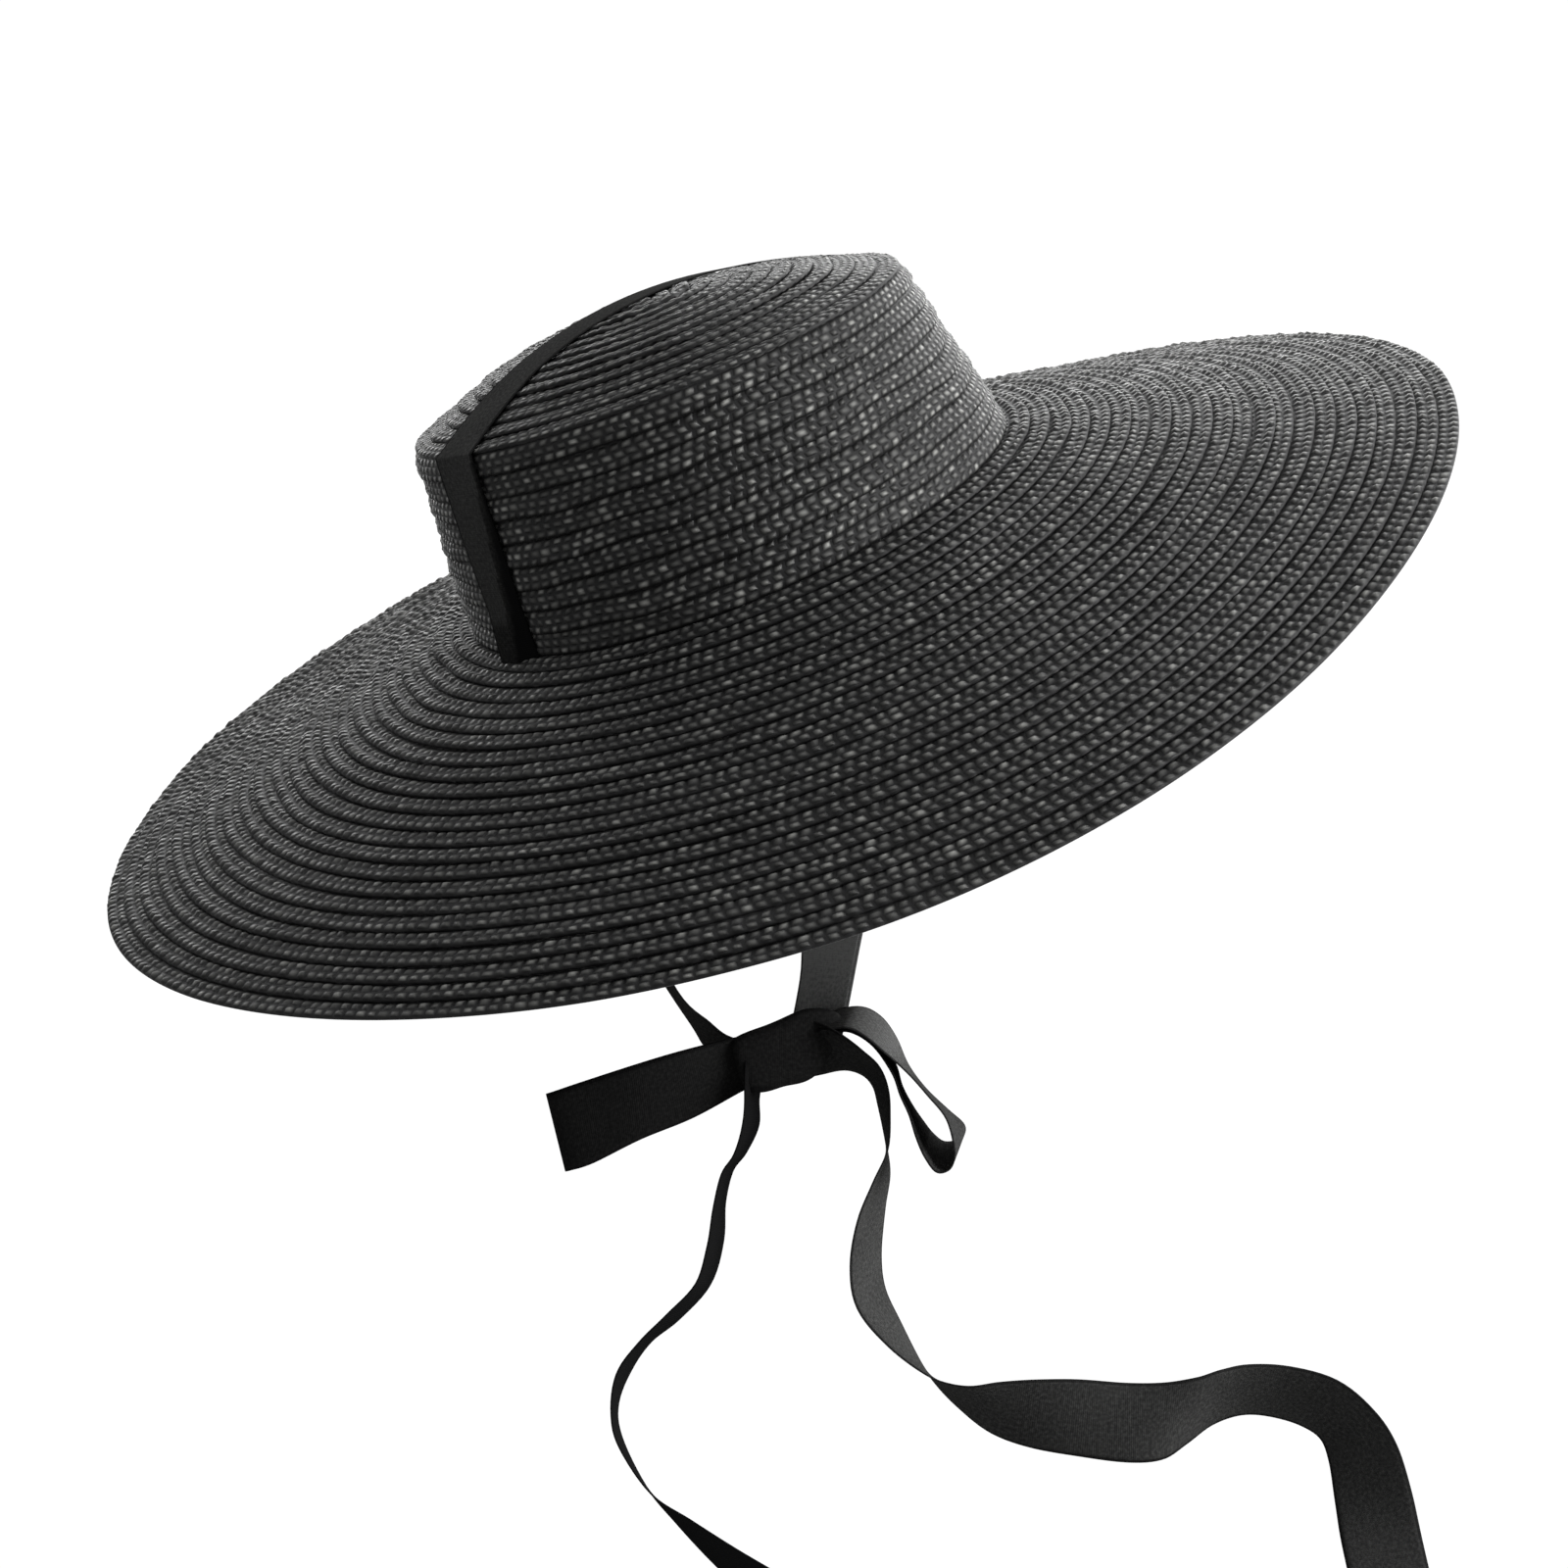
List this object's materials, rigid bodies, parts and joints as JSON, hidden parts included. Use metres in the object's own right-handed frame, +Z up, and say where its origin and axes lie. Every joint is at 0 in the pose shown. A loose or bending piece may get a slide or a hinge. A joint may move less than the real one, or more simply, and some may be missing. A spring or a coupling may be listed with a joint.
{
  "type": "wide-brimmed straw hat with ribbon tie",
  "caption": "Wide sloping sun hat sewn from rows of black straw braid, with a ribbon over the low crown that passes through the brim and ties in a bow with long tails below it.",
  "frame": {"origin": "centre of the head opening, on the level where the crown meets the brim", "axes": "+Z up the crown, -Y to the front of the hat, X from ear to ear with -X at the wearer's right"},
  "size_m": [0.4517, 0.4409, 0.4562],
  "materials": {
    "straw": "black dyed straw braid, softly glossy",
    "ribbon": "matte black woven ribbon"
  },
  "bodies": {
    "root": {"crown": "straw", "brim": "straw", "crown_ribbon": "ribbon", "strap_left": "ribbon", "strap_right": "ribbon", "bow_knot": "ribbon", "bow_loop_left": "ribbon", "bow_loop_right": "ribbon", "tail_left": "ribbon", "tail_right": "ribbon"}
  },
  "joints": []
}
